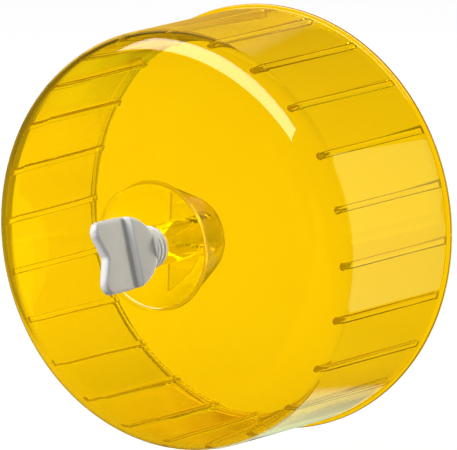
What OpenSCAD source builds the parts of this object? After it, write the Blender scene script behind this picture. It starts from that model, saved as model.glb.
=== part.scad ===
// Hamster wheel that hangs on a cage wall: a clear drum with a closed face, turning on a
// moulded axle pin, and a wing knob that clamps the cage wires between two washers.
// Millimetres. The axle runs along Y. The origin is on the axle at the clamping plane,
// the knob is towards -Y, the open side of the drum is towards +Y and Z is up.

/* [Drum] */
// Outside diameter of the rim lip at the open side
rim_d = 140; // [110:1:200]
// Depth of the drum from its closed face to the rim
drum_depth = 63; // [45:1:90]
// Thickness of the drum's face and tread
wall = 1.5; // [1.2:0.1:3]
// Outside rounding between the face and the tread
corner_r = 12; // [6:0.5:18]
// Angle by which the tread widens towards the open side
draft = 3.3; // [0.5:0.05:5]
// How far the rim lip stands out of the tread
lip_h = 1.2; // [1:0.1:5]
// Thickness of the rim lip along the axle
lip_t = 1.6; // [1:0.1:4]

/* [Rungs] */
// Number of rungs round the inside of the tread
rung_count = 24; // [12:1:36]
// Width of a rung
rung_w = 1.9; // [1.2:0.1:4]
// Height of a rung above the tread
rung_h = 1.2; // [0.6:0.1:2.5]
// Diameter of the round front end of a rung
rung_nose_d = 2.4; // [1.4:0.1:4.5]
// Distance from a rung's back end to the rim
rung_end = 1.2; // [0.5:0.1:6]
// Angle of the first rung above the X axis
rung_angle = 14.7; // [0:0.1:30]

/* [Hub] */
// Radius of the conical recess in the face, where its wall meets the face
recess_r = 19.3; // [18:0.1:26]
// Depth of the recess
recess_depth = 25.8; // [18:0.1:30]
// Angle by which the recess narrows towards its floor
recess_taper = 21; // [14:0.5:24]
// Rounding at the mouth of the recess
recess_lip_r = 2; // [1.6:0.1:5]
// Rounding between the wall and the floor of the recess
recess_foot_r = 9.5; // [4:0.1:11]
// Outside diameter of the hub tube
hub_d = 12.6; // [11.5:0.1:15]
// Length of the hub tube behind the recess
hub_back = 1.2; // [0.6:0.1:6]
// Number of fins between the hub tube and the recess wall
fin_count = 4; // [3:1:6]
// Thickness of a fin
fin_t = 0.8; // [0.6:0.1:2]
// Distance of the fins' front edges behind the face
fin_front = 9.6; // [4:0.1:14]
// Angle of the first fin above the X axis
fin_angle = 87.7; // [60:0.1:120]

/* [Axle] */
// Diameter of the axle pin inside the hub tube
axle_d = 8; // [7:0.1:9]
// Radial clearance of the axle pin in the hub tube and of the stud in the knob
running_gap = 0.05; // [0.02:0.01:0.1]
// Free play between the hub tube and what holds it at each end
end_play = 0.5; // [0.3:0.1:0.9]
// Diameter of the axle pin's head inside the drum
head_d = 9.8; // [9.5:0.1:12]
// Thickness of the axle pin's head
head_t = 2; // [1.6:0.1:4]
// Rounding of the head's edge
head_round = 0.9; // [0.3:0.1:1.2]
// Diameter of the stud that carries the washers and the knob
stud_d = 6; // [4.5:0.1:6.5]
// Length of the stud inside the knob
stud_grip = 7; // [5:0.1:7.4]
// Pitch of the thread on the stud
thread_pitch = 2; // [1:0.1:3]
// Depth of the thread on the stud
thread_depth = 0.5; // [0.2:0.05:0.7]

/* [Clamp] */
// Diameter of both clamp washers
washer_d = 13.2; // [11:0.1:18]
// Thickness of the inner washer, on the axle pin's shoulder
inner_washer_t = 1.4; // [1:0.1:3]
// Thickness of the outer washer, under the knob
outer_washer_t = 1.6; // [1:0.1:3]
// Rounding of a washer's outer edge
washer_round = 0.4; // [0.1:0.05:0.45]
// Gap between the two washers when the knob is done up
clamp_gap = 0.3; // [0.3:0.1:3]
// Gap between the outer washer and the knob
knob_gap = 0.2; // [0.1:0.05:0.5]

/* [Knob] */
// Width of the wing plate across its lobes
wing_w = 22.2; // [17:0.1:30]
// Length of the wing plate along the axle
wing_len = 23.3; // [20:0.1:36]
// Rounding of the outer corners of the lobes
lobe_r = 3.4; // [1.5:0.1:4]
// Depth of the notch between the lobes
notch_depth = 3.3; // [2:0.1:6]
// Thickness of the grip at its outer end
grip_tip_t = 2.9; // [2:0.1:5]
// Thickness of the grip beside the groove
grip_root_t = 4.4; // [3:0.1:6]
// Thickness of the knob's root beside the groove
root_front_t = 8; // [7.4:0.1:12]
// Thickness of the knob's root at the collar
root_back_t = 11.6; // [8:0.1:14]
// Length of the thick root
root_len = 8.6; // [8.6:0.1:12]
// Width of the groove and step between the root and the grip
step_len = 3.9; // [1.5:0.1:5]
// Depth of the groove below the grip
groove_depth = 0.2; // [0.1:0.1:1]
// Length of the round collar
collar_len = 1.4; // [0.8:0.1:4]
// Room beyond the end of the stud
stud_room = 0.5; // [0.3:0.1:1]
// Angle of the wing plate above the X axis
wing_angle = 104; // [0:1:180]

/* [Hidden] */
$fn = 96;
// Sides of a small round end, in the preview only
small_fn = 32;
// Overlap that lets joined shapes fuse, and overshoot of cuts
fuse = 0.4;
cut = 1;
// Overlap of a rounding and the conical wall that it runs into, so that they meet cleanly
seam = 0.002;
// Least rounding inside the lip of the recess
least_round = 0.1;
// Shares of the thread's pitch: half a ridge at its root and at its crest
ridge_root = 0.4;
ridge_crest = 0.15;
// Share of the knob's step at which the groove is deepest
groove_share = 0.13;

// Places along the axle, from the clamping plane
face_y = inner_washer_t + end_play;
knob_s = clamp_gap + outer_washer_t + knob_gap;
stud_tip_s = knob_s + stud_grip;

// Drum profile, in radius and depth behind the face
tread_r = rim_d / 2 - lip_h;
corner_in_r = corner_r - wall;
tangent_z = corner_r * (1 - sin(draft));
corner_x = tread_r - (drum_depth - tangent_z) * tan(draft) - corner_r * cos(draft);
inner_tangent_r = corner_x + corner_in_r * cos(draft);
inner_tangent_z = corner_r - corner_in_r * sin(draft);
hub_end = recess_depth + wall + hub_back;
rung_nose_run = sqrt(2 * corner_in_r * rung_h - pow(rung_h, 2)) - rung_nose_d / 2;
rung_len = (drum_depth - rung_end - inner_tangent_z) / cos(draft);

// Recess profile, in radius and depth: the middles of its foot and lip roundings
foot_z = recess_depth - recess_foot_r;
foot_x = recess_r - foot_z * tan(recess_taper) - recess_foot_r / cos(recess_taper) + seam;
mouth_x = recess_r + recess_lip_r * (1 / cos(recess_taper) - tan(recess_taper)) - seam;

// Knob profile, in distance from the collar's end and half thickness
grip_s = root_len + step_len;
groove_s = root_len + step_len * groove_share;
lobe_s = wing_len - lobe_r;
lobe_t = wing_w / 2 - lobe_r;
notch_s = wing_len - notch_depth;
notch_reach = norm([lobe_s - notch_s, lobe_t]);
notch_turn = atan2(lobe_t, lobe_s - notch_s) - asin(lobe_r / notch_reach);
notch_side = sqrt(pow(notch_reach, 2) - pow(lobe_r, 2));
notch_touch = [notch_s + notch_side * cos(notch_turn), notch_side * sin(notch_turn)];

// Turns shapes made round Z, with depth upwards, so that depth runs along +Y.
module along_axle() {
    rotate([-90, 0, 0]) children();
}

// Rectangle with its far outer corner rounded, from the axis outwards.
module rounded_step(r, z0, z1, round_r) {
    translate([0, z0]) square([r - round_r, z1 - z0]);
    translate([0, z0]) square([r, z1 - z0 - round_r]);
    translate([r - round_r, z1 - round_r]) circle(round_r);
}

// Half section of the space inside a bowl whose corner rounding has the radius r.
module bowl_section(r, floor_z, top_z) {
    round_x = corner_x + seam;
    start_r = corner_x + r * cos(draft);
    start_z = corner_r - r * sin(draft);
    translate([0, floor_z]) square([round_x, top_z - floor_z]);
    translate([round_x, corner_r]) circle(r);
    polygon([
        [0, start_z], [start_r, start_z],
        [start_r + (top_z - start_z) * tan(draft), top_z], [0, top_z]
    ]);
}

// Half section of the space in the conical recess, grown by a thickness all round.
module recess_section(grow, front_z) {
    r = recess_foot_r + grow;
    line_r = recess_r + grow / cos(recess_taper);
    touch_z = foot_z + r * sin(recess_taper);
    polygon([
        [0, front_z], [line_r - front_z * tan(recess_taper), front_z],
        [line_r - touch_z * tan(recess_taper), touch_z], [0, touch_z]
    ]);
    intersection() {
        translate([foot_x, foot_z]) circle(r);
        square([line_r, foot_z + r]);
    }
    square([max(foot_x, fuse), foot_z + r]);
}

// Half section of the widening at the mouth of the recess, up to a lip of the radius r.
module mouth_section(r, front_z) {
    touch_z = recess_lip_r - r * sin(recess_taper);
    difference() {
        translate([0, front_z]) square([mouth_x, touch_z - front_z]);
        translate([mouth_x, recess_lip_r]) circle(r);
    }
}

// Half section of everything on the drum that is round.
module drum_section() {
    difference() {
        union() {
            difference() {
                union() {
                    difference() {
                        bowl_section(corner_r, 0, drum_depth);
                        bowl_section(corner_in_r, wall, drum_depth + cut);
                    }
                    recess_section(wall, 0);
                    mouth_section(max(recess_lip_r - wall, least_round), 0);
                    translate([tread_r - fuse, drum_depth - lip_t]) square([lip_h + fuse, lip_t]);
                }
                recess_section(0, -cut);
                mouth_section(recess_lip_r, -cut);
            }
            square([hub_d / 2, hub_end]);
        }
        translate([0, -cut]) square([axle_d / 2 + running_gap, hub_end + 2 * cut]);
    }
}

// One rung on the tread: a bar along the drafted wall with a round front end.
module rung() {
    translate([inner_tangent_r, 0, inner_tangent_z]) rotate([0, draft, 0]) {
        translate([-rung_h, -rung_w / 2, -rung_nose_run])
            cube([rung_h + fuse, rung_w, rung_nose_run + rung_len]);
        translate([-rung_h, 0, -rung_nose_run]) rotate([0, 90, 0])
            cylinder(d = rung_nose_d, h = rung_h + fuse, $fn = small_fn);
    }
}

// One fin in the recess, from the hub tube outwards and past the recess wall.
module fin() {
    translate([hub_d / 2 - fuse, -fin_t / 2, fin_front]) cube([recess_r, fin_t, recess_depth]);
}

module drum() {
    color([0.98, 0.77, 0.02, 0.55]) translate([0, face_y, 0]) along_axle() {
        rotate_extrude() drum_section();
        intersection() {
            for (i = [0 : fin_count - 1]) rotate([0, 0, -fin_angle - i * 360 / fin_count]) fin();
            rotate_extrude() recess_section(fuse, 0);
        }
        intersection() {
            for (i = [0 : rung_count - 1]) rotate([0, 0, -rung_angle - i * 360 / rung_count]) rung();
            rotate_extrude() bowl_section(corner_r, 0, drum_depth);
        }
    }
}

// Half section of one ridge of the thread, centred on z = 0.
module ridge_section() {
    core_r = stud_d / 2 - thread_depth;
    root_z = thread_pitch * ridge_root;
    crest_z = thread_pitch * ridge_crest;
    polygon([
        [0, -root_z], [core_r, -root_z], [stud_d / 2, -crest_z],
        [stud_d / 2, crest_z], [core_r, root_z], [0, root_z]
    ]);
}

// Half section of the stud, from its tip at z = 0 to the axle pin's shoulder.
module stud_section(length) {
    ridge_count = floor((length - inner_washer_t) / thread_pitch);
    square([stud_d / 2 - thread_depth, length + fuse]);
    translate([0, length - inner_washer_t]) square([stud_d / 2, inner_washer_t + fuse]);
    for (i = [0 : ridge_count - 1]) translate([0, (i + 0.5) * thread_pitch]) ridge_section();
}

module axle_pin() {
    head_z = hub_end + end_play;
    shoulder_z = inner_washer_t - face_y;
    tip_z = -face_y - stud_tip_s;
    color([0.86, 0.85, 0.83]) translate([0, face_y, 0]) along_axle() rotate_extrude() {
        translate([0, shoulder_z]) square([axle_d / 2, head_z + fuse - shoulder_z]);
        translate([0, tip_z]) stud_section(shoulder_z - tip_z);
        rounded_step(head_d / 2, head_z, head_z + head_t, head_round);
    }
}

// A clamp washer from z = 0 upwards, with both outer edges rounded.
module clamp_washer(thickness) {
    edge_r = washer_d / 2 - washer_round;
    rotate_extrude() difference() {
        union() {
            square([edge_r, thickness]);
            translate([0, washer_round]) square([washer_d / 2, thickness - 2 * washer_round]);
            for (z = [washer_round, thickness - washer_round]) translate([edge_r, z]) circle(washer_round);
        }
        translate([0, -cut]) square([stud_d / 2 + running_gap, thickness + 2 * cut]);
    }
}

module inner_washer() {
    color([0.88, 0.87, 0.85]) along_axle() clamp_washer(inner_washer_t);
}

module outer_washer() {
    color([0.88, 0.87, 0.85]) translate([0, -clamp_gap - outer_washer_t, 0]) along_axle()
        clamp_washer(outer_washer_t);
}

// Outline of the wing plate: round at the collar, two lobes with a notch between them.
module wing_outline() {
    half = wing_w / 2;
    intersection() {
        translate([half, 0]) circle(half);
        translate([0, -half]) square([half + fuse, wing_w]);
    }
    for (flip = [0, 1]) mirror([0, flip]) {
        translate([lobe_s, lobe_t]) circle(lobe_r);
        polygon([
            [half, 0], [notch_s, 0], notch_touch, [lobe_s, lobe_t], [lobe_s, half], [half, half]
        ]);
    }
}

// Side view of the wing plate: thick root, groove with a step, and tapering grip.
module wing_side() {
    for (flip = [0, 1]) mirror([0, flip]) polygon([
        [0, 0], [0, root_back_t / 2], [root_len, root_front_t / 2],
        [groove_s, grip_root_t / 2 - groove_depth], [grip_s, grip_root_t / 2],
        [wing_len, grip_tip_t / 2], [wing_len, 0]
    ]);
}

module wing_knob() {
    bore_end = stud_grip + stud_room;
    color([0.80, 0.79, 0.77]) rotate([0, -wing_angle, 0]) rotate([0, 0, -90]) translate([knob_s, 0, 0])
        difference() {
            union() {
                intersection() {
                    linear_extrude(2 * root_back_t, center = true) wing_outline();
                    rotate([90, 0, 0]) linear_extrude(wing_w + cut, center = true) wing_side();
                }
                rotate([0, 90, 0]) cylinder(d = washer_d, h = collar_len);
            }
            translate([-cut, 0, 0]) rotate([0, 90, 0])
                cylinder(d = stud_d + 2 * running_gap, h = bore_end + cut);
        }
}

drum();
axle_pin();
inner_washer();
outer_washer();
wing_knob();
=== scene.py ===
# %% [markdown]
# # A clear drum wheel for a small hamster
# The wheel is a clear yellow drum with a closed face. It turns on a pale pin, and a
# grey wing knob clamps the pin to the cage wires between two washers. This lesson
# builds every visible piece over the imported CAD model, which gives the frame: metres,
# the axle along Y, the knob towards -Y, the open side towards +Y, and Z up.

# %% Load the frame
import math
import bmesh
import bpy
from mathutils import Matrix, Vector


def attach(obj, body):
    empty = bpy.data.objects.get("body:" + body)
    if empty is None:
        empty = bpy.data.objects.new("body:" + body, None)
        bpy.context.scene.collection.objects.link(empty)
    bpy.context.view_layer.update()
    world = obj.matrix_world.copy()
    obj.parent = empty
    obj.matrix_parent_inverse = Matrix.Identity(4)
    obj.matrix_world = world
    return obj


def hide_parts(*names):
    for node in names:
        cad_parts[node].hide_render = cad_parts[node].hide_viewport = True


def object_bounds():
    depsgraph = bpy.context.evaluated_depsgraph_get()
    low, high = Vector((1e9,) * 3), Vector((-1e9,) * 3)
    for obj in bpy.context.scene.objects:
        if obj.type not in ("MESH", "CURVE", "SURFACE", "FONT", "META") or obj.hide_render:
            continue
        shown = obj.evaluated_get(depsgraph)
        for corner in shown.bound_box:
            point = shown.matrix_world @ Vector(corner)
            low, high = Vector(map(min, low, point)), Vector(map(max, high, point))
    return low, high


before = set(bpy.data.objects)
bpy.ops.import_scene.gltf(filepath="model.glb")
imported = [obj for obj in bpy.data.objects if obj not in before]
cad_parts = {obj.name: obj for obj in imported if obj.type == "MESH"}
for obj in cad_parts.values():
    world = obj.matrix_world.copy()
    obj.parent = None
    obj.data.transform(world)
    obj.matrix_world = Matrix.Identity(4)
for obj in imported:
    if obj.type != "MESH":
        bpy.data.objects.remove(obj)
cad_low, cad_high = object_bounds()
MM = 0.001

# %% [markdown]
# ## The camera first
# The photograph is a long-lens view from the front right and a little above. A fit to
# the drum's two rims gave the camera's place and lens. The aim is turned a little off
# the drum's middle, which puts the wheel left of the centre as in the photograph and
# needs no lens shift.

# %% Camera
VIEW_AZIMUTH, VIEW_ELEVATION = math.radians(34.914), math.radians(10.253)
VIEW_TARGET, VIEW_DISTANCE = Vector((0, 26.9 * MM, 0)), 737.5 * MM
FOCAL_PIXELS, IMAGE_WIDTH = 2347.0, 457.0
AIM_RIGHT, AIM_UP = 30.16, 9.7

to_camera = Vector((
    math.sin(VIEW_AZIMUTH) * math.cos(VIEW_ELEVATION),
    -math.cos(VIEW_AZIMUTH) * math.cos(VIEW_ELEVATION),
    math.sin(VIEW_ELEVATION),
))
camera = bpy.data.objects.new("camera", bpy.data.cameras.new("camera"))
bpy.context.collection.objects.link(camera)
camera.data.sensor_width = 36.0
camera.data.lens = camera.data.sensor_width * FOCAL_PIXELS / IMAGE_WIDTH
camera.location = VIEW_TARGET + to_camera * VIEW_DISTANCE
level = (-to_camera).to_track_quat("-Z", "Y")
aim = level @ Vector((AIM_RIGHT, AIM_UP, -FOCAL_PIXELS))
camera.rotation_mode = "QUATERNION"
camera.rotation_quaternion = (-to_camera).rotation_difference(aim.normalized()) @ level
camera.data.clip_start, camera.data.clip_end = 0.05, 20
bpy.context.scene.camera = camera
print("lens", round(camera.data.lens, 1), "mm at", [round(c, 3) for c in camera.location])

# %% [markdown]
# ## Helpers for round pieces
# Almost every piece here is turned: a half section that is spun round the axle. A
# section starts as its corner points. A vertex bevel rounds each corner, and the
# offset that gives a wanted radius follows from the angle between the two edges.
# A section that touches the axle is left open there, and its end points close up
# into the poles of the piece.

# %% Section and spin
AXLE = Vector((0, 1, 0))
MERGE, SMOOTH_ANGLE = 1e-7, 32


def round_corner(bm, vert, radius, segments):
    """Rounds one corner of a section or an outline to a radius in metres."""
    a, b = [(e.other_vert(vert).co - vert.co) for e in vert.link_edges]
    offset = radius / math.tan(a.angle(b) / 2)
    bmesh.ops.bevel(
        bm, geom=[vert], offset=offset, offset_type="OFFSET", segments=segments,
        profile=0.5, affect="VERTICES", material=-1, clamp_overlap=False,
    )


def section(corners, closed=True):
    """A flat section of (across, along, rounding, segments) rows in mm, as a wire in X and Y."""
    bm = bmesh.new()
    verts = [bm.verts.new((r * MM, y * MM, 0)) for r, y, _, _ in corners]
    for a, b in zip(verts, verts[1:] + verts[:1] if closed else verts[1:]):
        bm.edges.new((a, b))
    for vert, (_, _, radius, segments) in zip(verts, corners):
        if radius:
            round_corner(bm, vert, radius * MM, segments)
    bmesh.ops.remove_doubles(bm, verts=bm.verts, dist=MERGE)
    return bm


def turned(corners, steps, closed=True):
    """Spins a section of (radius, y, rounding, segments) rows in mm round the axle."""
    bm = section(corners, closed)
    bmesh.ops.spin(
        bm, geom=bm.verts[:] + bm.edges[:], cent=(0, 0, 0), axis=AXLE, dvec=(0, 0, 0),
        angle=math.tau, steps=steps, use_merge=True, use_duplicate=False,
    )
    bmesh.ops.remove_doubles(bm, verts=bm.verts, dist=MERGE)
    bmesh.ops.recalc_face_normals(bm, faces=bm.faces)
    return bm


def piece(name, bm, smooth_angle=SMOOTH_ANGLE):
    """Makes an object at the origin from a bmesh, smooth up to an angle in degrees."""
    mesh = bpy.data.meshes.new(name)
    bm.to_mesh(mesh)
    bm.free()
    made = bpy.data.objects.new(name, mesh)
    bpy.context.collection.objects.link(made)
    return smoothed(made, smooth_angle)


def smoothed(made, angle):
    """Shades a piece smooth, with sharp edges above an angle in degrees."""
    made.data.shade_smooth()
    made.data.set_sharp_from_angle(angle=math.radians(angle))
    return made


def merged(base, tool, operation):
    """Joins or cuts one piece by another, keeps the result in the first and drops the second."""
    step = base.modifiers.new(operation.lower(), "BOOLEAN")
    step.operation, step.solver, step.use_self, step.object = operation, "EXACT", True, tool
    bpy.context.view_layer.update()
    shaped = base.evaluated_get(bpy.context.evaluated_depsgraph_get())
    mesh = bpy.data.meshes.new_from_object(shaped)
    base.modifiers.clear()
    base.data = mesh
    bpy.data.objects.remove(tool)
    return base


# %% [markdown]
# ## The drum
# The real drum is one injection moulding: a face with a large round corner, a deep
# conical recess with the hub tube in its middle, a slightly tapered tread, and a thin
# rim lip at the open side. Clear plastic shows every hidden face, so the drum has to
# be one clean skin with nothing buried inside. The round part is spun in one go, and
# the rungs and fins are joined to it afterwards.

# %% Drum sizes
FACE_Y, DRUM_DEPTH, WALL = 1.9, 63.0, 1.5
RIM_R, LIP_H, LIP_T, LIP_ROUND = 70.0, 1.2, 1.6, 0.7
DRAFT = math.radians(3.3)
CORNER_R, CORNER_STEPS, DRUM_STEPS = 12.0, 20, 264
RECESS_R, RECESS_DEPTH, RECESS_TAPER = 19.3, 25.8, math.radians(21)
RECESS_LIP_R, RECESS_FOOT_R = 2.0, 9.5
HUB_R, BORE_R, HUB_BACK, SOFT_EDGE = 6.3, 4.05, 1.2, 0.35
HUB_END = RECESS_DEPTH + WALL + HUB_BACK

FOOT_Z = RECESS_DEPTH - RECESS_FOOT_R
FOOT_X = RECESS_R - FOOT_Z * math.tan(RECESS_TAPER) - RECESS_FOOT_R / math.cos(RECESS_TAPER)
FOOT_GAP = 0.6


def tread_radius(depth, inside=False):
    """Radius of the tread's outer or inner surface at a depth behind the face, in mm."""
    outer = RIM_R - LIP_H - (DRUM_DEPTH - depth) * math.tan(DRAFT)
    return outer - WALL / math.cos(DRAFT) if inside else outer


def cone_radius(depth, grow=0.0):
    """Radius of the recess wall at a depth, grown by a thickness, in mm."""
    return RECESS_R + grow / math.cos(RECESS_TAPER) - depth * math.tan(RECESS_TAPER)


def recess_foot(grow, tube_r):
    """The corner that rounds to the recess foot, and the depth where it meets the hub tube."""
    radius = RECESS_FOOT_R + grow
    tube_angle = math.acos((HUB_R + FOOT_GAP - FOOT_X) / radius)
    half, middle = (tube_angle - RECESS_TAPER) / 2, (tube_angle + RECESS_TAPER) / 2
    corner = (FOOT_X + radius / math.cos(half) * math.cos(middle),
              FOOT_Z + radius / math.cos(half) * math.sin(middle))
    run = (HUB_R + FOOT_GAP - tube_r) / math.sin(tube_angle)
    return corner, FOOT_Z + radius * math.sin(tube_angle) + run * math.cos(tube_angle)


print("recess foot round", RECESS_FOOT_R, "mm about", round(FOOT_X, 2), round(FOOT_Z, 2))

# %% Drum body
inner_foot, inner_floor = recess_foot(0, HUB_R)
outer_foot, outer_floor = recess_foot(WALL, HUB_R)
drum_corners = [
    (BORE_R, 0, SOFT_EDGE, 3), (HUB_R, 0, SOFT_EDGE, 4),
    (HUB_R, inner_floor, SOFT_EDGE, 3), (*inner_foot, RECESS_FOOT_R, 18),
    (RECESS_R, 0, RECESS_LIP_R, 10), (tread_radius(0), 0, CORNER_R, CORNER_STEPS),
    (tread_radius(DRUM_DEPTH - LIP_T), DRUM_DEPTH - LIP_T, SOFT_EDGE, 3),
    (RIM_R, DRUM_DEPTH - LIP_T, LIP_ROUND, 8), (RIM_R, DRUM_DEPTH, LIP_ROUND, 8),
    (tread_radius(DRUM_DEPTH, True), DRUM_DEPTH, SOFT_EDGE, 4),
    (tread_radius(WALL, True), WALL, CORNER_R - WALL, CORNER_STEPS),
    (cone_radius(WALL, WALL), WALL, RECESS_LIP_R - WALL, 6),
    (*outer_foot, RECESS_FOOT_R + WALL, 18),
    (HUB_R, outer_floor, SOFT_EDGE, 3), (HUB_R, HUB_END, SOFT_EDGE, 4),
    (BORE_R, HUB_END, SOFT_EDGE, 3),
]
drum = piece("clear_drum", turned(
    [(r, FACE_Y + depth, radius, n) for r, depth, radius, n in drum_corners], DRUM_STEPS))
print("drum skin:", len(drum.data.polygons), "faces")

# %% [markdown]
# ### Rungs
# The rungs are low bars on the inside of the tread. Each starts in a round knob-like
# end in the drum's round corner and stops square just before the rim. A bar with
# softened top edges and a short round post are made once, then copied round the axle.

# %% Rungs
RUNG_COUNT, RUNG_ANGLE = 24, math.radians(14.7)
RUNG_W, RUNG_H, RUNG_SUNK, RUNG_EDGE = 1.9, 1.2, 0.4, 0.3
RUNG_NOSE_R, RUNG_END = 1.2, 1.2
inner_r = CORNER_R - WALL
rung_start = CORNER_R - inner_r * math.sin(DRAFT)
nose_run = math.sqrt(2 * inner_r * RUNG_H - RUNG_H ** 2) - RUNG_NOSE_R
rung_length = (DRUM_DEPTH - RUNG_END - rung_start) / math.cos(DRAFT)
rung_foot = tread_radius(rung_start, True)


def soften_top(bm, faces, width):
    """Rounds the edges round the faces that look up the local Z axis."""
    top = [f for f in faces if f.normal.z > 0.9]
    edges = [e for f in top for e in f.edges if not all(g in top for g in e.link_faces)]
    bmesh.ops.bevel(
        bm, geom=edges, offset=width * MM, offset_type="OFFSET", segments=3, profile=0.5,
        affect="EDGES", material=-1, clamp_overlap=True,
    )


def rung_bar():
    """One bar and its round end: local X along the rung, Z up from the tread."""
    bm = bmesh.new()
    low, high = -nose_run, rung_length
    size = Vector((high - low, RUNG_W, RUNG_H + RUNG_SUNK)) * MM
    middle = Vector(((low + high) / 2, 0, (RUNG_H - RUNG_SUNK) / 2)) * MM
    bmesh.ops.create_cube(bm, size=1, matrix=Matrix.Translation(middle) @ Matrix.Diagonal(size.to_4d()))
    bm.normal_update()
    soften_top(bm, bm.faces[:], RUNG_EDGE)
    post = bmesh.ops.create_cone(
        bm, cap_ends=True, segments=28, radius1=RUNG_NOSE_R * MM, radius2=RUNG_NOSE_R * MM,
        depth=(RUNG_H + RUNG_SUNK) * MM,
        matrix=Matrix.Translation(Vector((low, 0, (RUNG_H - RUNG_SUNK) / 2)) * MM),
    )
    bm.normal_update()
    post_faces = list(dict.fromkeys(f for v in post["verts"] for f in v.link_faces))
    soften_top(bm, post_faces, RUNG_EDGE)
    return bm


def copied_round(target, source, count, first_angle, place):
    """Adds copies of a bmesh to another, turned evenly round the axle."""
    shape = bpy.data.meshes.new("copy")
    source.to_mesh(shape)
    source.free()
    for i in range(count):
        start = len(target.verts)
        target.from_mesh(shape)
        target.verts.ensure_lookup_table()
        turn = Matrix.Rotation(-(first_angle + i * math.tau / count), 4, "Y")
        bmesh.ops.transform(target, matrix=turn @ place, verts=target.verts[start:])
    bpy.data.meshes.remove(shape)


ribs = bmesh.new()
along = Vector((math.sin(DRAFT), math.cos(DRAFT), 0))
inwards = Vector((-math.cos(DRAFT), math.sin(DRAFT), 0))
on_tread = Matrix((along, inwards.cross(along), inwards)).transposed().to_4x4()
on_tread.translation = Vector((rung_foot, FACE_Y + rung_start, 0)) * MM
copied_round(ribs, rung_bar(), RUNG_COUNT, RUNG_ANGLE, on_tread)
print(RUNG_COUNT, "rungs of", round(rung_length + nose_run, 1), "mm")

# %% [markdown]
# ### Fins
# Four thin fins tie the hub tube to the wall of the recess. A fin is a flat sheet that
# follows the section of the recess, sunk a little into the wall and the tube so that
# the join leaves no seam. It is filled as one face and pushed out to its thickness.

# %% Fins
FIN_COUNT, FIN_ANGLE = 4, math.radians(87.7)
FIN_T, FIN_FRONT, FIN_SUNK = 0.8, 9.6, 0.3


def fin_plate():
    """One fin in the recess: local X outwards, Y along the axle."""
    tube_side = HUB_R - FIN_SUNK
    corner, floor = recess_foot(FIN_SUNK, tube_side)
    rows = [
        (tube_side, FIN_FRONT, 0, 0), (cone_radius(FIN_FRONT, FIN_SUNK), FIN_FRONT, 0, 0),
        (*corner, RECESS_FOOT_R + FIN_SUNK, 14), (tube_side, floor, 0, 0),
    ]
    bm = section([(r, FACE_Y + depth, radius, n) for r, depth, radius, n in rows])
    plate = bmesh.ops.contextual_create(bm, geom=bm.edges[:])["faces"]
    grown = bmesh.ops.extrude_face_region(bm, geom=plate)["geom"]
    bmesh.ops.translate(
        bm, vec=(0, 0, FIN_T * MM), verts=[v for v in grown if isinstance(v, bmesh.types.BMVert)])
    bmesh.ops.translate(bm, vec=(0, 0, -FIN_T / 2 * MM), verts=bm.verts)
    bmesh.ops.recalc_face_normals(bm, faces=bm.faces)
    return bm


copied_round(ribs, fin_plate(), FIN_COUNT, FIN_ANGLE, Matrix())
smoothed(merged(drum, piece("ribs", ribs), "UNION"), SMOOTH_ANGLE)
print("drum with rungs and", FIN_COUNT, "fins:", len(drum.data.polygons), "faces")

# %% [markdown]
# ## Pin and washers
# The pin stays still while the drum turns. Its small head snaps through the hub tube and
# keeps the drum on, its shoulder carries the inner washer, and its stud takes the outer
# washer and the knob. The thread is shown as rings, which are rows of the pin's section.

# %% Pin
PIN_R, STUD_R, HEAD_R, HEAD_T, HEAD_ROUND, END_PLAY = 4.0, 3.0, 4.9, 2.0, 0.9, 0.5
INNER_T, OUTER_T, CLAMP_GAP, KNOB_GAP, STUD_GRIP = 1.4, 1.6, 0.3, 0.2, 7.0
THREAD_PITCH, THREAD_DEPTH, RIDGE_ROOT, RIDGE_CREST = 2.0, 0.5, 0.4, 0.15
PIN_STEPS, PIN_EDGE, TIP_EDGE = 96, 0.2, 0.3

head_y = FACE_Y + HUB_END + END_PLAY
knob_s = CLAMP_GAP + OUTER_T + KNOB_GAP
stud_tip = -(knob_s + STUD_GRIP)
core_r = STUD_R - THREAD_DEPTH
pin_rows = [(0, stud_tip, 0, 0), (core_r, stud_tip, TIP_EDGE, 2)]
for i in range(int(-stud_tip / THREAD_PITCH)):
    middle = stud_tip + (i + 0.5) * THREAD_PITCH
    for side, r, share in ((-1, core_r, RIDGE_ROOT), (-1, STUD_R, RIDGE_CREST),
                           (1, STUD_R, RIDGE_CREST), (1, core_r, RIDGE_ROOT)):
        pin_rows.append((r, middle + side * share * THREAD_PITCH, 0, 0))
pin_rows += [
    (core_r, 0, 0, 0), (STUD_R, 0, 0, 0), (STUD_R, INNER_T, 0, 0), (PIN_R, INNER_T, PIN_EDGE, 2),
    (PIN_R, head_y, 0, 0), (HEAD_R, head_y, PIN_EDGE, 2),
    (HEAD_R, head_y + HEAD_T, HEAD_ROUND, 8), (0, head_y + HEAD_T, 0, 0),
]
pin = piece("axle_pin_turned", turned(pin_rows, PIN_STEPS, closed=False))
print("pin from", stud_tip, "to", round(head_y + HEAD_T, 1), "mm along the axle")

# %% [markdown]
# The washers are flat rings with rounded rims. They grip the cage wires between them,
# and the outer one slides along the stud when the knob is turned.

# %% Washers
WASHER_R, WASHER_ROUND, WASHER_BORE, WASHER_EDGE = 6.6, 0.4, 3.05, 0.15


def washer(name, low, high):
    """A flat ring with both outer edges rounded, between two places on the axle."""
    return piece(name, turned([
        (WASHER_BORE, low, WASHER_EDGE, 2), (WASHER_R, low, WASHER_ROUND, 5),
        (WASHER_R, high, WASHER_ROUND, 5), (WASHER_BORE, high, WASHER_EDGE, 2),
    ], PIN_STEPS))


inner_washer = washer("inner_washer_ring", 0, INNER_T)
outer_washer = washer("outer_washer_ring", -CLAMP_GAP - OUTER_T, -CLAMP_GAP)
print("washers", 2 * WASHER_R, "mm across,", CLAMP_GAP, "mm apart")

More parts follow.
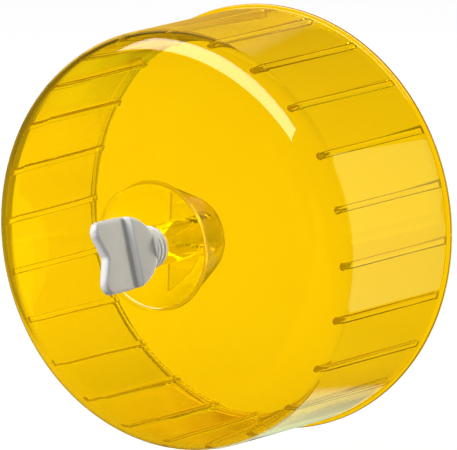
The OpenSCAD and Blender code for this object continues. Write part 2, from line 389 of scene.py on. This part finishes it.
# %% [markdown]
# ## Wing knob
# The knob is a two-lobed grip on a thick root, with a step and a shallow groove between
# them, and every edge is well rounded. A plain bevel can't round the rim across the
# step. So the upper half starts as a flat sheet: insets lay rings along its outline, and
# each ring keeps its distance from the outline as its height for a moment. Cuts across
# the sheet add points where the thickness changes. Then each point is lifted to the
# thickness at its place, less what the rounded edge takes off at its distance.

# %% Wing profile
WING_W, WING_LEN, LOBE_R, NOTCH_DEPTH, NOTCH_R = 22.2, 23.3, 3.4, 3.3, 1.5
WING_ANGLE, WING_SMOOTH = math.radians(104), 40
WING_EDGE, EDGE_RINGS, ARC_MERGE = 1.4, 7, 8e-5
STEP_S, GROOVE_S, GRIP_S = 8.6, 9.1, 12.5
ROOT_HALF, STEP_HALF, GROOVE_HALF, GRIP_HALF, TIP_HALF = 5.8, 4.0, 2.0, 2.2, 1.45
STEP_ROUND, GROOVE_ROUND, GRIP_ROUND = 0.6, 0.4, 2.0
half_w = WING_W / 2

profile_wire = section([
    (0, ROOT_HALF, 0, 0), (STEP_S, STEP_HALF, STEP_ROUND, 5), (GROOVE_S, GROOVE_HALF, GROOVE_ROUND, 5),
    (GRIP_S, GRIP_HALF, GRIP_ROUND, 4), (WING_LEN, TIP_HALF, 0, 0),
], closed=False)
wing_profile = sorted((v.co.x / MM, v.co.y / MM) for v in profile_wire.verts)
profile_wire.free()


def wing_half_thickness(s):
    """Half thickness of the wing plate at a distance from the collar's end, in mm."""
    for (s0, h0), (s1, h1) in zip(wing_profile, wing_profile[1:]):
        if s <= s1:
            return h0 + (h1 - h0) * (s - s0) / (s1 - s0)
    return wing_profile[-1][1]


print("wing profile has", len(wing_profile), "places along the knob")

# %% Wing sheet


def wing_outline():
    """The flat outline of the wing plate: X along the knob, Y across."""
    notch_s, lobe_s, lobe_t = WING_LEN - NOTCH_DEPTH, WING_LEN - LOBE_R, half_w - LOBE_R
    reach = math.hypot(lobe_s - notch_s, lobe_t)
    slope = math.tan(math.atan2(lobe_t, lobe_s - notch_s) - math.asin(LOBE_R / reach))
    tip_t = (WING_LEN - notch_s) * slope
    bm = section([
        (0, -half_w, half_w, 16), (WING_LEN, -half_w, LOBE_R, 8), (WING_LEN, -tip_t, LOBE_R, 5),
        (notch_s, 0, NOTCH_R, 6), (WING_LEN, tip_t, LOBE_R, 5), (WING_LEN, half_w, LOBE_R, 8),
        (0, half_w, half_w, 16),
    ])
    bmesh.ops.remove_doubles(bm, verts=bm.verts, dist=ARC_MERGE)
    bmesh.ops.contextual_create(bm, geom=bm.edges[:])
    return bm


def wing_plate():
    """The whole wing plate in its own frame: X along the knob, Y across, Z through it."""
    bm = wing_outline()
    done = 0.0
    for ring in range(1, EDGE_RINGS + 1):
        reach = WING_EDGE * (1 - math.cos(ring / EDGE_RINGS * math.pi / 2))
        inner = max(bm.faces, key=lambda f: f.calc_area())
        bmesh.ops.inset_region(
            bm, faces=[inner], thickness=(reach - done) * MM, use_boundary=True, use_even_offset=True)
        inner = max(bm.faces, key=lambda f: f.calc_area())
        for v in inner.verts:
            v.co.z = reach * MM
        done = reach
    for s, _ in wing_profile[1:-1]:
        bmesh.ops.bisect_plane(
            bm, geom=bm.verts[:] + bm.edges[:] + bm.faces[:], plane_co=(s * MM, 0, 0),
            plane_no=(1, 0, 0), dist=MERGE)
    for v in bm.verts:
        half, distance = wing_half_thickness(v.co.x / MM), v.co.z / MM
        radius = min(WING_EDGE, half)
        inside = max(radius - distance, 0)
        v.co.z = (half - radius + math.sqrt(radius ** 2 - min(inside, radius) ** 2)) * MM
    rim = [e for e in bm.edges if e.is_boundary]
    side = bmesh.ops.extrude_edge_only(bm, edges=rim)["geom"]
    for v in side:
        if isinstance(v, bmesh.types.BMVert):
            v.co.z = 0
    bmesh.ops.mirror(bm, geom=bm.verts[:] + bm.edges[:] + bm.faces[:], axis="Z", merge_dist=MERGE)
    bmesh.ops.remove_doubles(bm, verts=bm.verts, dist=MERGE)
    bmesh.ops.recalc_face_normals(bm, faces=bm.faces)
    return bm


knob_frame = (
    Matrix.Rotation(-WING_ANGLE, 4, "Y") @ Matrix.Rotation(math.radians(-90), 4, "Z")
    @ Matrix.Translation((knob_s * MM, 0, 0))
)
wing = wing_plate()
bmesh.ops.transform(wing, matrix=knob_frame, verts=wing.verts)
knob = piece("wing_knob_moulded", wing, WING_SMOOTH)
print("wing plate:", len(knob.data.polygons), "faces")

# %% Collar and bore
COLLAR_LEN, COLLAR_ROUND, BORE_LEAD, STUD_ROOM = 1.4, 0.4, 1.0, 0.5
collar_end, bore_start, bore_end = -knob_s - COLLAR_LEN, -knob_s + BORE_LEAD, stud_tip - STUD_ROOM
collar = piece("collar", turned([
    (0, -knob_s, 0, 0), (WASHER_R, -knob_s, COLLAR_ROUND, 4),
    (WASHER_R, collar_end, COLLAR_ROUND, 4), (0, collar_end, 0, 0),
], PIN_STEPS, closed=False))
merged(knob, collar, "UNION")
bore = piece("bore", turned([
    (0, bore_start, 0, 0), (WASHER_BORE, bore_start, 0, 0),
    (WASHER_BORE, bore_end, 0, 0), (0, bore_end, 0, 0),
], PIN_STEPS, closed=False))
smoothed(merged(knob, bore, "DIFFERENCE"), WING_SMOOTH)
print("knob with collar and bore:", len(knob.data.polygons), "faces")

# %% [markdown]
# ## A moulding's small unevenness
# No moulded plastic is one flat colour. It has broad, faint flow clouds, a gloss that
# changes a little from place to place, and a fine skin from the mould. All the plastics
# here share one node group for that, built once and given other values in each.

# %% Moulding group


def linked(tree, kind, **inputs):
    """Adds a shader node and sets or links its inputs by name."""
    node = tree.nodes.new(kind)
    for name, value in inputs.items():
        socket = node.inputs[name.replace("_", " ")]
        if isinstance(value, bpy.types.NodeSocket):
            tree.links.new(value, socket)
        else:
            socket.default_value = value
    return node


def math_node(tree, operation, a, b):
    """A Math node from two numbers or sockets."""
    node = tree.nodes.new("ShaderNodeMath")
    node.operation = operation
    for i, value in enumerate((a, b)):
        if isinstance(value, (int, float)):
            node.inputs[i].default_value = value
        else:
            tree.links.new(value, node.inputs[i])
    return node.outputs[0]


def moulding_group():
    """Clouds for the tone, patches for the gloss and a fine skin, from a point on the piece."""
    tree = bpy.data.node_groups.new("moulding", "ShaderNodeTree")
    face = tree.interface
    for name, kind in (("Point", "NodeSocketVector"), ("Cloud Scale", "NodeSocketFloat"),
                       ("Skin Scale", "NodeSocketFloat"), ("Gloss Low", "NodeSocketFloat"),
                       ("Gloss High", "NodeSocketFloat")):
        face.new_socket(name=name, in_out="INPUT", socket_type=kind)
    for name in ("Cloud", "Roughness", "Skin"):
        face.new_socket(name=name, in_out="OUTPUT", socket_type="NodeSocketFloat")
    given = tree.nodes.new("NodeGroupInput").outputs
    cloud = linked(tree, "ShaderNodeTexNoise", Vector=given["Point"], Scale=given["Cloud Scale"],
                   Detail=2.0, Distortion=0.6)
    patches = linked(tree, "ShaderNodeTexNoise", Vector=given["Point"], Scale=given["Cloud Scale"],
                     Detail=4.0, Distortion=1.5)
    skin = linked(tree, "ShaderNodeTexNoise", Vector=given["Point"], Scale=given["Skin Scale"],
                  Detail=3.0)
    gloss = linked(tree, "ShaderNodeMapRange", Value=patches.outputs["Fac"],
                   From_Min=0.3, From_Max=0.7, To_Min=given["Gloss Low"], To_Max=given["Gloss High"])
    result = tree.nodes.new("NodeGroupOutput")
    tree.links.new(cloud.outputs["Fac"], result.inputs["Cloud"])
    tree.links.new(gloss.outputs["Result"], result.inputs["Roughness"])
    tree.links.new(skin.outputs["Fac"], result.inputs["Skin"])
    return tree


MOULDING = moulding_group()


def new_material(name):
    """A material with its Principled shader and output."""
    made = bpy.data.materials.new(name)
    made.use_nodes = True
    nodes = made.node_tree.nodes
    return made, made.node_tree, nodes["Principled BSDF"], nodes["Material Output"]


def moulding_in(tree, cloud_scale, skin_scale, gloss_low, gloss_high):
    """Places the moulding group in a material, on the piece's own coordinates."""
    where = tree.nodes.new("ShaderNodeTexCoord")
    group = tree.nodes.new("ShaderNodeGroup")
    group.node_tree = MOULDING
    tree.links.new(where.outputs["Object"], group.inputs["Point"])
    for name, value in (("Cloud Scale", cloud_scale), ("Skin Scale", skin_scale),
                        ("Gloss Low", gloss_low), ("Gloss High", gloss_high)):
        group.inputs[name].default_value = value
    return group.outputs


def toned(tree, factor, low, high):
    """A colour between two, by a factor that changes over the piece."""
    node = tree.nodes.new("ShaderNodeMix")
    node.data_type = "RGBA"
    tree.links.new(factor, node.inputs["Factor"])
    for name, value in (("A", low), ("B", high)):
        socket = next(s for s in node.inputs if s.name == name and s.type == "RGBA")
        if isinstance(value, bpy.types.NodeSocket):
            tree.links.new(value, socket)
        else:
            socket.default_value = (*value, 1)
    return next(s for s in node.outputs if s.type == "RGBA")


def bumped(tree, height, distance, strength):
    """A normal from a height, with the height's full range in metres."""
    node = linked(tree, "ShaderNodeBump", Height=height, Distance=distance, Strength=strength)
    return node.outputs["Normal"]


print("moulding group has", len(MOULDING.nodes), "nodes")

# %% [markdown]
# ## Clear yellow plastic
# The drum's dye takes out all the blue in one wall, and a second wall looks no darker:
# what is left is light that the dye doesn't take. The colour is therefore given to the
# first wall that a ray meets, counted by Light Path, and later walls are nearly clear.
# For lamps the wall is a pale yellow filter, which keeps its shadow light. Light that is
# trapped between the walls of a real moulding is scattered a little and comes out dimmer.
# In its place, a ray still trapped after four mirror bounces takes a painted glow, an
# emission of the plastic, once. The painted glow is brighter near the hub, where the walls
# of the recess stand close together.

# %% Clear plastic
DYE_LIGHT, DYE_DEEP, LATER_WALLS = (1.0, 0.375, 0.0), (1.0, 0.335, 0.0), (1.0, 0.99, 0.95)
CLEAR_CLOUDS, CLEAR_SKIN, CLEAR_GLOSS, CLEAR_IOR = 45, 160, (0.008, 0.03), 1.55
CLEAR_RELIEF, CLEAR_PULL = 0.00004, 0.25
TRAPPED_DEPTH, TRAPPED_PAINTED_GLOW = 4, (0.50, 0.40, 0.25)
HUB_REACH, HUB_PAINTED_GLOW = (0.0205, 0.025), (0.78, 0.72, 0.28)
LAMP_FILTER = (1.0, 0.97, 0.88)


def from_axle(tree):
    """Distance of a point on the piece from the axle, in metres."""
    where = tree.nodes.new("ShaderNodeTexCoord")
    flat = tree.nodes.new("ShaderNodeVectorMath")
    flat.operation = "MULTIPLY"
    flat.inputs[1].default_value = (1, 0, 1)
    tree.links.new(where.outputs["Object"], flat.inputs[0])
    length = tree.nodes.new("ShaderNodeVectorMath")
    length.operation = "LENGTH"
    tree.links.new(flat.outputs["Vector"], length.inputs[0])
    return length.outputs["Value"]


def matt_rays(tree, path):
    """One for rays on their way from a matt surface to the light."""
    return math_node(tree, "GREATER_THAN", path["Diffuse Depth"], 0.5)


def clear_plastic():
    made, tree, shader, output = new_material("clear_yellow_plastic")
    flow = moulding_in(tree, CLEAR_CLOUDS, CLEAR_SKIN, *CLEAR_GLOSS)
    path = tree.nodes.new("ShaderNodeLightPath")
    first_wall = math_node(tree, "LESS_THAN", path.outputs["Transmission Depth"], 0.5)
    dye = toned(tree, flow["Cloud"], DYE_DEEP, DYE_LIGHT)
    tint = toned(tree, first_wall, LATER_WALLS, dye)
    tint = toned(tree, matt_rays(tree, path.outputs), tint, LAMP_FILTER)
    tree.links.new(tint, shader.inputs["Base Color"])
    # Painted glow: rays still trapped after four mirror bounces get a yellow emission from the plastic
    # once, brighter near the hub.
    trapped = math_node(tree, "COMPARE", path.outputs["Glossy Depth"], TRAPPED_DEPTH)
    outside_hub = linked(tree, "ShaderNodeMapRange", Value=from_axle(tree), From_Min=HUB_REACH[0],
                         From_Max=HUB_REACH[1], To_Min=0.0, To_Max=1.0)
    painted_glow = toned(tree, outside_hub.outputs["Result"], HUB_PAINTED_GLOW, TRAPPED_PAINTED_GLOW)
    tree.links.new(toned(tree, trapped, (0, 0, 0), painted_glow), shader.inputs["Emission Color"])
    shader.inputs["Emission Strength"].default_value = 1.0
    tree.links.new(flow["Roughness"], shader.inputs["Roughness"])
    tree.links.new(bumped(tree, flow["Skin"], CLEAR_RELIEF, CLEAR_PULL), shader.inputs["Normal"])
    shader.inputs["Transmission Weight"].default_value = 1.0
    shader.inputs["IOR"].default_value = CLEAR_IOR
    filtered = linked(tree, "ShaderNodeBsdfTransparent", Color=(*LAMP_FILTER, 1))
    mix = tree.nodes.new("ShaderNodeMixShader")
    tree.links.new(path.outputs["Is Shadow Ray"], mix.inputs[0])
    tree.links.new(shader.outputs[0], mix.inputs[1])
    tree.links.new(filtered.outputs[0], mix.inputs[2])
    tree.links.new(mix.outputs[0], output.inputs["Surface"])
    return made


drum.data.materials.clear()
drum.data.materials.append(clear_plastic())
print("drum has", drum.data.materials[0].name)

# %% [markdown]
# ## Pale plastics
# The pin, washers and knob are opaque mouldings with a satin skin. They are nearly the
# same off-white, and the knob is a touch greyer.

# %% Grey plastics
SATIN_CLOUDS, SATIN_SKIN, SATIN_RELIEF, SATIN_PULL = 90, 2200, 0.00005, 0.35


def moulded_plastic(name, low, high, gloss_low, gloss_high):
    made, tree, shader, _ = new_material(name)
    flow = moulding_in(tree, SATIN_CLOUDS, SATIN_SKIN, gloss_low, gloss_high)
    tree.links.new(toned(tree, flow["Cloud"], low, high), shader.inputs["Base Color"])
    tree.links.new(flow["Roughness"], shader.inputs["Roughness"])
    tree.links.new(bumped(tree, flow["Skin"], SATIN_RELIEF, SATIN_PULL), shader.inputs["Normal"])
    return made


pale = moulded_plastic("pale_grey_plastic", (0.72, 0.71, 0.69), (0.80, 0.79, 0.77), 0.25, 0.40)
grey = moulded_plastic("grey_knob_plastic", (0.66, 0.65, 0.63), (0.74, 0.73, 0.71), 0.28, 0.42)
for made, look in ((pin, pale), (inner_washer, pale), (outer_washer, pale), (knob, grey)):
    made.data.materials.clear()
    made.data.materials.append(look)
    print(made.name, "has", look.name)

# %% [markdown]
# ## Pieces and bodies
# Each piece replaces its CAD solid and rides the body that moves it. Its material already
# bears the name of the record's material slot.

# %% Ride and replace
for made, node, body, slot in (
    (drum, "drum", "drum", "clear_yellow_plastic"),
    (pin, "axle_pin", "axle", "pale_grey_plastic"),
    (inner_washer, "inner_washer", "axle", "pale_grey_plastic"),
    (outer_washer, "outer_washer", "clamp", "pale_grey_plastic"),
    (knob, "wing_knob", "knob", "grey_knob_plastic"),
):
    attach(made, body)
    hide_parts(node)
    print(made.name, "rides", body)

# %% [markdown]
# ## Floor
# The photograph is on plain white. The floor is a plain grey for the light that it throws
# back. To the camera most of it glows up to white, and the rest keeps the wheel's shadow.
# Seen through the drum it is white paper: a strip that widens behind and before the wheel,
# with a painted shadow that makes it a little darker close to the wheel. Beside the strip
# the floor is dim, and rays that the plastic bends far aside end there and draw its dark
# lines. Mirror images in the drum look past the floor, because the photograph shows none of it there.

# %% Floor
FLOOR_HALF, FLOOR_GAP = 4, 0.0005
floor_bm = bmesh.new()
bmesh.ops.create_grid(floor_bm, x_segments=1, y_segments=1, size=FLOOR_HALF)
bmesh.ops.translate(floor_bm, vec=(0, 0, cad_low.z - FLOOR_GAP), verts=floor_bm.verts)
floor = piece("floor", floor_bm)


def mirror_rays(tree, path):
    """One for rays that come from a mirror image, and not from a matt surface."""
    not_diffuse = math_node(tree, "SUBTRACT", 1.0, path["Is Diffuse Ray"])
    return math_node(tree, "MULTIPLY", path["Is Reflection Ray"], not_diffuse)


FLOOR_PLAIN, FLOOR_KEPT = 0.35, 0.15
CAMERA_GLOW, CAMERA_LOSS, CAMERA_REACH = 0.96, 0.13, 0.25
THROUGH_GLOW, NEAR_PAINTED_SHADOW, PAINTED_SHADOW_REACH = 0.96, 0.42, 0.08
PAPER_HALF, PAPER_SPREAD, PAPER_EDGE = 0.075, 0.105, (1.05, 1.6)
PAPER_SLOPE, DIM_SIDE = 0.08, 0.3
behind = Vector((-to_camera.x, -to_camera.y, 0)).normalized()


def near_wheel(tree, distance, level, loss, reach):
    """A level that falls off towards the wheel."""
    fall = math_node(tree, "POWER", 1 / math.e, math_node(tree, "DIVIDE", distance, reach))
    return math_node(tree, "SUBTRACT", level, math_node(tree, "MULTIPLY", fall, loss))


def paper(tree, place):
    """One on the white paper behind and before the wheel, less beside it, and more on its left."""
    spans = []
    for direction in (behind, behind.cross(Vector((0, 0, 1)))):
        dot = tree.nodes.new("ShaderNodeVectorMath")
        dot.operation = "DOT_PRODUCT"
        dot.inputs[1].default_value = direction
        tree.links.new(place, dot.inputs[0])
        spans.append(dot.outputs["Value"])
    along = math_node(tree, "ABSOLUTE", spans[0], 0.0)
    width = math_node(tree, "ADD", math_node(tree, "MULTIPLY", along, PAPER_SPREAD), PAPER_HALF)
    across = math_node(tree, "DIVIDE", spans[1], width)
    edge = linked(tree, "ShaderNodeMapRange", Value=math_node(tree, "ABSOLUTE", across, 0.0),
                  From_Min=PAPER_EDGE[0], From_Max=PAPER_EDGE[1], To_Min=1.0, To_Max=DIM_SIDE)
    edge.interpolation_type = "SMOOTHSTEP"
    slope = math_node(tree, "SUBTRACT", 1.0, math_node(tree, "MULTIPLY", across, PAPER_SLOPE))
    return math_node(tree, "MULTIPLY", edge.outputs["Result"], slope)


def floor_material():
    made, tree, shader, output = new_material("pale_floor")
    path = tree.nodes.new("ShaderNodeLightPath").outputs
    where = tree.nodes.new("ShaderNodeTexCoord")
    away = tree.nodes.new("ShaderNodeVectorMath")
    away.operation = "SUBTRACT"
    away.inputs[1].default_value = (0, VIEW_TARGET.y, cad_low.z)
    tree.links.new(where.outputs["Object"], away.inputs[0])
    length = tree.nodes.new("ShaderNodeVectorMath")
    length.operation = "LENGTH"
    tree.links.new(away.outputs["Vector"], length.inputs[0])
    distance = length.outputs["Value"]
    # Painted shadow: seen through the drum, the floor's glow is darker close to the wheel.
    through = math_node(
        tree, "MULTIPLY", paper(tree, away.outputs["Vector"]),
        near_wheel(tree, distance, THROUGH_GLOW, NEAR_PAINTED_SHADOW, PAINTED_SHADOW_REACH))
    clear = math_node(tree, "SUBTRACT", path["Is Transmission Ray"], matt_rays(tree, path))
    # To the camera the glow is a little lower close to the wheel, where the lamps light the floor more,
    # so that the lamps' own shadow shows there.
    direct = near_wheel(tree, distance, CAMERA_GLOW, CAMERA_LOSS, CAMERA_REACH)
    glow = math_node(
        tree, "ADD", math_node(tree, "MULTIPLY", path["Is Camera Ray"], direct),
        math_node(tree, "MULTIPLY", math_node(tree, "MAXIMUM", clear, 0.0), through))
    seen = math_node(tree, "MAXIMUM", path["Is Camera Ray"], path["Is Transmission Ray"])
    tree.links.new(toned(tree, seen, (FLOOR_PLAIN,) * 3, (FLOOR_KEPT,) * 3), shader.inputs["Base Color"])
    shader.inputs["Roughness"].default_value = 0.9
    shader.inputs["Specular IOR Level"].default_value = 0.0
    light = linked(tree, "ShaderNodeEmission", Strength=glow)
    both = tree.nodes.new("ShaderNodeAddShader")
    tree.links.new(shader.outputs[0], both.inputs[0])
    tree.links.new(light.outputs[0], both.inputs[1])
    past = tree.nodes.new("ShaderNodeMixShader")
    tree.links.new(mirror_rays(tree, path), past.inputs[0])
    tree.links.new(both.outputs[0], past.inputs[1])
    tree.links.new(tree.nodes.new("ShaderNodeBsdfTransparent").outputs[0], past.inputs[2])
    tree.links.new(past.outputs[0], output.inputs["Surface"])
    return made


floor.data.materials.append(floor_material())
print("floor at", round(cad_low.z * 1000, 1), "mm")

# %% [markdown]
# ## World
# Straight behind and before the wheel the backdrop is white up to eye level. It is dim
# above and to the sides, and clear plastic shows the dim parts as the dark lines along its
# edges. Mirror images see a dark room with two lit parts, a warm one above and a pale one
# low behind the wheel. Those inside the drum also see one bright side, which lifts the far
# wall. Matt surfaces get an even soft light from all round.

# %% World
world = bpy.data.worlds.new("studio")
bpy.context.scene.world = world
world.use_nodes = True
tree = world.node_tree
tree.nodes.clear()
path = tree.nodes.new("ShaderNodeLightPath").outputs
where = tree.nodes.new("ShaderNodeTexCoord")


def facing(direction, low, high, value_low, value_high):
    """A smooth step between two values, by how far a ray points along a direction."""
    dot = tree.nodes.new("ShaderNodeVectorMath")
    dot.operation = "DOT_PRODUCT"
    dot.inputs[1].default_value = direction
    tree.links.new(where.outputs["Generated"], dot.inputs[0])
    node = linked(tree, "ShaderNodeMapRange", Value=dot.outputs["Value"], From_Min=low,
                  From_Max=high, To_Min=value_low, To_Max=value_high)
    node.interpolation_type = "SMOOTHSTEP"
    return node.outputs["Result"]


SOFT_LIGHT, DIM_THROUGH, DIM_INSIDE, DIM_ROOM = 0.09, 0.35, 0.25, 0.03
WARM_SIDE, WARM_COS = Vector((-0.5, 0.8, 0.3)).normalized(), (0.89, 0.96)
WARM_LEVEL, WARM_COLOUR = 0.9, (1.0, 0.6, 0.02)
PALE_SIDE, PALE_COS = Vector((-0.25, 0.80, -0.54)).normalized(), (0.955, 0.978)
PALE_LEVEL, PALE_COLOUR = 1.1, (0.65, 1.0, 0.75)
INNER_SIDE, INNER_COS = Vector((0.5, 0.85, -0.15)).normalized(), (0.6, 0.9)
EYE_LEVEL, EYE_WHITE, PAPER_COS = (0.05, 0.55), 1.05, (0.94, 0.985)
horizon = facing((0, 0, 1), *EYE_LEVEL, EYE_WHITE, DIM_THROUGH)
before = facing(-behind, *PAPER_COS, DIM_SIDE, 1.0)
paper_side = math_node(tree, "MAXIMUM", facing(behind, *PAPER_COS, DIM_SIDE, 1.0), before)
matt = matt_rays(tree, path)
clear = math_node(tree, "MAXIMUM", math_node(tree, "SUBTRACT", path["Is Transmission Ray"], matt), 0.0)
through = math_node(tree, "MULTIPLY", clear, math_node(tree, "MULTIPLY", horizon, paper_side))
inside = math_node(tree, "GREATER_THAN", path["Transmission Depth"], 0.5)
inner = math_node(tree, "MULTIPLY", inside, facing(INNER_SIDE, *INNER_COS, DIM_INSIDE, 1.0))
room = math_node(tree, "MAXIMUM", inner, DIM_ROOM)
mirror = mirror_rays(tree, path)
warm = facing(WARM_SIDE, *WARM_COS, 0.0, WARM_LEVEL)
pale_part = facing(PALE_SIDE, *PALE_COS, 0.0, PALE_LEVEL)
backdrop = math_node(tree, "MAXIMUM", pale_part, room)
mirrored = math_node(tree, "MULTIPLY", mirror, math_node(tree, "MAXIMUM", backdrop, warm))
soft = math_node(tree, "MULTIPLY", matt, SOFT_LIGHT)
seen = math_node(tree, "MAXIMUM", path["Is Camera Ray"], through)
total = math_node(tree, "ADD", seen, math_node(tree, "ADD", mirrored, soft))
tint = toned(tree, math_node(tree, "MULTIPLY", mirror, pale_part), (1, 1, 1), PALE_COLOUR)
tint = toned(tree, math_node(tree, "MULTIPLY", mirror, warm), tint, WARM_COLOUR)
background = linked(tree, "ShaderNodeBackground", Color=tint, Strength=total)
out = tree.nodes.new("ShaderNodeOutputWorld")
tree.links.new(background.outputs[0], out.inputs["Surface"])
print("world has", len(tree.nodes), "nodes")

# %% [markdown]
# ## Lamps
# Two lamps make the mirror images: a long softbox overhead draws the bright crescent over
# the drum's upper edge, and a tall panel at the right shows in the tread. They add nothing
# to matt surfaces. Two soft lamps light those, and neither mirror images nor the view
# through the plastic show them. The key is at the front left, and the fill is behind the
# drum on the right, where it leaves the knob's groove in the shade.

# %% Lamps


def softbox(name, direction, distance, size, radiance, long_axis=(0, 0, 1), mirrored=False,
            colour=(1, 1, 1)):
    """A rectangular area lamp that faces the wheel, with its own X along the long axis."""
    width, height = size
    lamp = bpy.data.lights.new(name, "AREA")
    lamp.shape, lamp.size, lamp.size_y = "RECTANGLE", width, height
    lamp.energy, lamp.color = radiance * math.pi * width * height, colour
    made = bpy.data.objects.new(name, lamp)
    bpy.context.collection.objects.link(made)
    out_z = Vector(direction).normalized()
    out_x = Vector(long_axis) - out_z * Vector(long_axis).dot(out_z)
    out_x.normalize()
    turn = Matrix((out_x, out_z.cross(out_x), out_z)).transposed()
    made.location = VIEW_TARGET + out_z * distance
    made.rotation_mode = "QUATERNION"
    made.rotation_quaternion = turn.to_quaternion()
    made.visible_glossy = made.visible_transmission = mirrored
    made.visible_diffuse = not mirrored
    print(name, "lights with", round(lamp.energy, 2), "W")


softbox("right_panel", direction=(0.60, 0.77, 0.0), distance=1.0, size=(0.98, 0.5), radiance=1.2,
        mirrored=True, colour=(0.6, 1, 0.45))
softbox("overhead", direction=(-0.12, -0.42, 0.97), distance=1.0, size=(1.7, 0.6), radiance=5.0,
        long_axis=(0.88, -0.44, 0.16), mirrored=True)
softbox("soft_key", direction=(-0.35, -0.75, 0.60), distance=1.0, size=(0.7, 0.7), radiance=9.0)
softbox("right_fill", direction=(0.48, 0.86, 0.15), distance=1.2, size=(0.5, 0.5), radiance=24.0,
        colour=(0.92, 0.94, 1.08))

# %% Finish
bpy.context.scene.view_settings.view_transform = "Standard"
